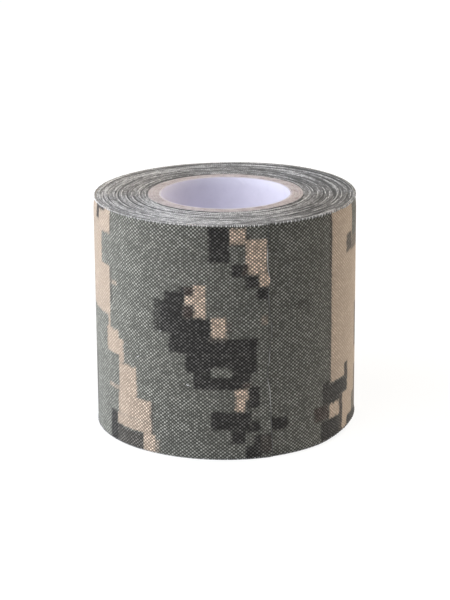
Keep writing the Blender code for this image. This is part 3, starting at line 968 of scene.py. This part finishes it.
def edge_threads(first_turn, last_turn, top, seed):
    """The bare weft ends along one edge: one at each weft thread, from a little way down the outer face to
    the edge, bulging outwards on the way. Every other one is on top of the last warp thread, so it is thicker
    and paler. They reach further down right of the free end."""
    random = np.random.default_rng(seed)
    length = np.arange(length_at(first_turn), length_at(last_turn), WEFT_PITCH)
    length = length + random.uniform(-0.12, 0.12, len(length)) * WEFT_PITCH
    turn = turn_at(length)
    on_top = (np.arange(len(length)) % 2)[:, None]
    right_side = eased((-turn - 0.72) / 0.06)
    frayed = 0.65 + 0.40 * wander(length, 17 * MILLIMETRE, seed) + 0.2 * right_side
    reach = (0.12 + 0.26 * frayed * random.uniform(0.5, 1.3, len(length))) * MILLIMETRE
    lean = random.normal(0.0, 0.05, len(length)) * MILLIMETRE / OUTER_RADIUS
    share = np.linspace(0.0, 1.0, 4)
    angle = angle_at(turn)[:, None] + lean[:, None] * share
    radius = outer_face_radius(turn)[:, None]
    from_edge = reach[:, None] * (1.0 - share) + EDGE_THREAD_TIP * (1.0 - 2.0 * share)
    height = ROLL_HEIGHT - from_edge if top else np.maximum(from_edge, 1.5 * EDGE_THREAD)
    uneven = end_unevenness(radius, angle, height)
    radius = radius + EDGE_THREAD_PROUD - top_tuck(radius, height)
    height = height + uneven
    beside = printed_inks(OUTER_RADIUS * (angle - FRONT_ANGLE), 0 * angle + ROLL_HEIGHT * (0.98 if top else 0.02))
    wider = 0.65 + (0.5 + 0.35 * right_side[:, None]) * on_top + 0.3 * beside[..., 0]
    thickness = EDGE_THREAD * EDGE_THREAD_TAPER * random.uniform(0.85, 1.1, (len(length), 1)) * wider
    pale = random.uniform(0.30, 0.60, (len(length), 1)) + 0.5 * on_top
    pale = pale + 0.4 * beside[..., 0] - 0.25 * right_side[:, None] * (1.0 + beside[..., 0])
    # The threads at the foot are dimmed with painted shade.
    pale = pale if top else FOOT_SHADE * pale
    return thread_part(round_the_axis(radius, angle, height), thickness, length, pale)


print("edge threads on one turn:", int(-length_at(-1.0) / WEFT_PITCH))

# %% [markdown]
# ## Outer wrap
# The outer wrap carries the print, so its outer face has a point about every thread. It stops half a facet
# before the first hinge, where the free end begins.

# %% Wrap the printed outside
PRINT_CELL = 0.45 * MILLIMETRE
PEEL_START = -6.5 / LENGTHS_IN_A_TURN
UNCOVERED_START = -0.995
RIM_BARE = 0.6


def printed_rows():
    """Heights of the rows on the outer face as shares of it: even cells, and a few closer rows by each edge
    for the bare thread there."""
    near_edge = np.array([0.0, 0.06, 0.12, 0.24]) * MILLIMETRE / CLOTH_WIDTH
    middle = np.linspace(0.0, 1.0, int(CLOTH_WIDTH / PRINT_CELL))[1:-1]
    return np.concatenate([near_edge, middle, 1.0 - near_edge[::-1]])


def printed_part(turn, section):
    """A stretch of the strip with its print. The print's place is the distance from the roll's front, on the
    outer radius. Some of the print still shows on the rim."""
    part = cloth_surface(turn, section, CLOTH_WIDTH, 1.0)
    from_front = angle_at(np.broadcast_to(turn, (len(turn), len(section[0])))) - FRONT_ANGLE
    part["inks"] = printed_inks(OUTER_RADIUS * from_front.ravel(), part["points"][:, 2])
    part["marks"][:, 0] *= RIM_BARE - 0.3 * eased((-turn_at(part["plan"][:, 0]) - 0.72) / 0.06)
    return part


wrap_count = int((PEEL_START - WRAP_START) * 2 * math.pi * OUTER_RADIUS / PRINT_CELL)
wrap_stations = np.linspace(WRAP_START, PEEL_START, wrap_count)
wrap_section = cloth_section(printed_rows(), np.linspace(0.0, 1.0, 6), 3, CLOTH_WIDTH)
wrap_parts = [printed_part(wrap_stations[:, None], wrap_section),
              edge_threads(UNCOVERED_START, PEEL_START, True, 71),
              edge_threads(UNCOVERED_START, PEEL_START, False, 72)]
outer_wrap = add_piece("outer_wrap", printed_cloth, *wrap_parts)
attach(outer_wrap, "roll")

# %% [markdown]
# ## Free end
# The strip was cut by hand, so it ends in a line that wanders by half a millimetre. The last weft thread lies
# loose along the cut, pale where the ink has worn off, and the ends of the warp stick out past it.

# %% The cut end
CUT_LINE = [(0.0, 0.42), (3.0, 0.40), (6.0, 0.20), (10.4, 0.08), (13.0, -0.05), (14.6, -0.10), (16.6, -0.60),
            (19.4, -0.60), (21.0, -0.27), (24.3, -0.12), (26.3, 0.30), (28.9, 0.25), (31.8, -0.30), (34.0, -0.33),
            (36.2, -0.46), (38.2, 0.02), (40.0, -0.45), (41.5, -0.62), (45.6, -0.62), (47.5, -0.45), (50.0, -0.42)]
CUT_THREAD = 0.065 * MILLIMETRE
CUT_THREAD_STEPS = 220
WARP_END = 0.055 * MILLIMETRE


def cut_line(height):
    """How far past the free end's angle the strip is cut, at each height, in turns: straight lines between
    the places read on the real cut."""
    at, past = np.array(CUT_LINE).T * MILLIMETRE
    return np.interp(height, at, past) / (2 * math.pi * OUTER_RADIUS)


def zipped_cap(loop):
    """Faces that close a section whose two sides match. From a loop that starts in the middle of one crown, the
    points of the two sides are paired: a quad between each pair and the next, and a triangle at each crown."""
    middle = len(loop) // 2
    near, far = loop[1:middle], loop[:middle:-1]
    quads = np.stack([near[:-1], near[1:], far[1:], far[:-1]], axis=-1)
    return [loop[[0, 1, -1]], *quads, loop[[middle - 1, middle, middle + 1]]]


def cut_end_parts():
    """The loose weft along the cut, paler higher up, and the warp ends past it, each with its own length and
    droop."""
    height = np.linspace(0.15 * MILLIMETRE, ROLL_HEIGHT - 0.1 * MILLIMETRE, CUT_THREAD_STEPS)
    sunk = 0.035 * wander(height, 1.9 * MILLIMETRE, 82) * MILLIMETRE
    aside = 0.04 * wander(height, 2.7 * MILLIMETRE, 83) * MILLIMETRE / OUTER_RADIUS
    angle = angle_at(cut_line(height)) + aside
    tucked = OUTER_RADIUS - top_tuck(OUTER_RADIUS, height)
    path = round_the_axis(tucked + 0.005 * MILLIMETRE + sunk, angle, height)[None]
    thickness = CUT_THREAD * (0.9 + 0.2 * wander(height, 1.1 * MILLIMETRE, 84))[None]
    higher = eased((height - 8 * MILLIMETRE) / (8 * MILLIMETRE))
    pale = np.clip(0.10 + 0.14 * higher + 0.55 * wander(height, 3.1 * MILLIMETRE, 85), 0.0, 1.0)[None]
    loose_weft = thread_part(path, thickness, np.zeros(1), pale)

    random = np.random.default_rng(86)
    height = np.arange(0.3 * MILLIMETRE, ROLL_HEIGHT - 0.2 * MILLIMETRE, WARP_PITCH)
    reach = random.gamma(1.4, 0.05, len(height)).clip(0.02, 0.34) * MILLIMETRE / OUTER_RADIUS
    share = np.linspace(0.0, 1.0, 4)
    angle = angle_at(cut_line(height))[:, None] + reach[:, None] * share
    droop = random.uniform(0.02, 0.14, (len(height), 1)) * share**2
    radius = OUTER_RADIUS - top_tuck(OUTER_RADIUS, height)[:, None] - (0.10 + droop) * MILLIMETRE
    rise = height[:, None] + random.normal(0.0, 0.06, (len(height), 1)) * share * MILLIMETRE
    thickness = WARP_END * np.array([1.0, 1.0, 0.9, 0.5]) * np.ones((len(height), 1))
    pale = random.uniform(0.05, 0.35, (len(height), 1)) + 0 * share
    return [loose_weft, thread_part(round_the_axis(radius, angle, rise), thickness, np.zeros(len(height)), pale)]


LINT = [(-19.9, 20.4, 0.55, 0.5), (-8.1, 16.0, 0.60, -0.3), (-14.0, 27.0, 0.40, 0.2)]


def lint_parts(first_turn, last_turn):
    """Short fibres caught on the cloth between two turns: each is a shallow arc that lies on the outer face."""
    parts = []
    for from_front, height, reach, tilt in LINT:
        turn = (from_front * MILLIMETRE / OUTER_RADIUS + FRONT_ANGLE - FREE_END_ANGLE) / (2 * math.pi)
        if first_turn <= turn < last_turn:
            share = np.linspace(-0.5, 0.5, 7)
            angle = angle_at(turn) + reach * MILLIMETRE * share / OUTER_RADIUS
            rise = (height + reach * (tilt * share + 1.2 * share**2)) * MILLIMETRE
            path = round_the_axis(OUTER_RADIUS + 0.05 * MILLIMETRE + 0 * share, angle, rise)[None]
            thickness = 0.10 * MILLIMETRE * (1.0 - 3.0 * share**2)[None]
            parts.append(thread_part(path, thickness, np.zeros(1), np.ones((1, 7))))
    return parts


print("cut line wanders by", np.ptp(cut_line(np.linspace(0, ROLL_HEIGHT, 50))) * 2 * math.pi * OUTER_RADIUS)

# %% [markdown]
# The free end is six hinged lengths in the model. Cloth bends smoothly, so each visual piece is centred on a
# hinge: it runs from the middle of the length before the hinge to the middle of the length after it. The first
# piece joins the outer wrap, and the last ends in the cut.

# %% Lay the free end
LENGTH_ROWS = 12
free_section = cloth_section(printed_rows(), printed_rows(), 3, CLOTH_WIDTH)
half_length = 0.5 / LENGTHS_IN_A_TURN
for number, joint in enumerate(frame["joints"]):
    hinge_turn = (hinge_angles[number] - FREE_END_ANGLE) / (2 * math.pi)
    start, end = hinge_turn - half_length, hinge_turn + half_length
    ends_at = np.full(len(free_section[1]), end)
    rows = LENGTH_ROWS
    last = number == len(hinges) - 1
    if last:
        ends_at = cut_line(free_section[1])
        rows = LENGTH_ROWS + LENGTH_ROWS // 2
    turn = start + np.linspace(0.0, 1.0, rows)[:, None] * (ends_at[None, :] - start)
    parts = [printed_part(turn, free_section), *lint_parts(start, end)]
    caps = parts[0]["caps"]
    parts[0]["caps"] = [caps[0], *zipped_cap(np.roll(caps[1], -1))]
    threads_end = 0.0 if last else end
    parts.append(edge_threads(start, threads_end, True, 91 + number))
    parts.append(edge_threads(start, threads_end, False, 101 + number))
    if last:
        parts += cut_end_parts()
    piece = add_piece(f"peeling_cloth_{number + 1}", printed_cloth, *parts)
    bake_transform(piece)
    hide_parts(joint["child"])
